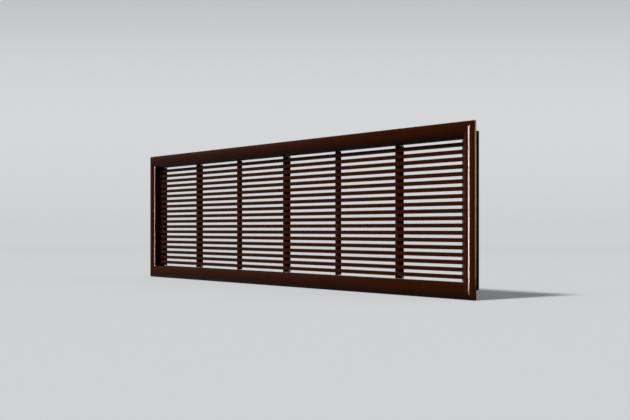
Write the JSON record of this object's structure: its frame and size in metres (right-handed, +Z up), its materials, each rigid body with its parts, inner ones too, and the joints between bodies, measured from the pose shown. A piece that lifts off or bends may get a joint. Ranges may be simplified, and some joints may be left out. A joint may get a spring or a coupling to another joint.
{
  "type": "louvred air grille",
  "caption": "Wide rectangular linear bar air grille: rolled mitred border with a wall neck, and a lift-out core of fixed horizontal bars on vertical mullions.",
  "frame": {"origin": "centre of the opening in the wall plane, which is the plane of the border's back face", "axes": "+X along the bars to the right as seen from the room, +Y into the wall, +Z up"},
  "size_m": [1.2, 0.0309, 0.3],
  "materials": {
    "border_paint": "glossy dark brown",
    "bar_paint": "glossy dark brown",
    "core_paint": "satin dark brown",
    "mill_aluminium": "mill",
    "spring_steel": "bright spring steel",
    "screw_steel": "zinc plated",
    "rivet_aluminium": "satin",
    "gasket_foam": "closed-cell foam"
  },
  "bodies": {
    "frame": {"frame_top": "border_paint", "frame_bottom": "border_paint", "frame_left": "border_paint", "frame_right": "border_paint", "corner_key_top_left": "mill_aluminium", "corner_key_top_right": "mill_aluminium", "corner_key_bottom_left": "mill_aluminium", "corner_key_bottom_right": "mill_aluminium", "corner_plate_top_left": "mill_aluminium", "corner_plate_top_right": "mill_aluminium", "corner_plate_bottom_left": "mill_aluminium", "corner_plate_bottom_right": "mill_aluminium", "key_screws": "screw_steel", "gasket_top": "gasket_foam", "gasket_bottom": "gasket_foam", "gasket_left": "gasket_foam", "gasket_right": "gasket_foam", "core_stop_left": "core_paint", "core_stop_right": "core_paint", "stop_rivets": "rivet_aluminium"},
    "core": {"bar_01": "bar_paint", "bar_02": "bar_paint", "bar_03": "bar_paint", "bar_04": "bar_paint", "bar_05": "bar_paint", "bar_06": "bar_paint", "bar_07": "bar_paint", "bar_08": "bar_paint", "bar_09": "bar_paint", "bar_10": "bar_paint", "bar_11": "bar_paint", "bar_12": "bar_paint", "bar_13": "bar_paint", "bar_14": "bar_paint", "bar_15": "bar_paint", "bar_16": "bar_paint", "bar_17": "bar_paint", "bar_18": "bar_paint", "bar_19": "bar_paint", "mullion_1": "core_paint", "mullion_2": "core_paint", "mullion_3": "core_paint", "mullion_4": "core_paint", "mullion_5": "core_paint", "end_strip_left": "core_paint", "end_strip_right": "core_paint", "strap_left": "core_paint", "strap_centre": "core_paint", "strap_right": "core_paint", "spring_clip_1": "spring_steel", "spring_clip_2": "spring_steel", "spring_clip_3": "spring_steel", "spring_clip_4": "spring_steel", "spring_clip_5": "spring_steel", "spring_clip_6": "spring_steel", "bar_rivets_left": "rivet_aluminium", "bar_rivets_right": "rivet_aluminium", "strap_screws": "screw_steel", "clip_rivets": "rivet_aluminium"}
  },
  "joints": [
    {"name": "core_lift_out", "type": "slide", "parent": "frame", "child": "core", "axis": [0, -1, 0], "range_m": [0, 0.04]}
  ]
}
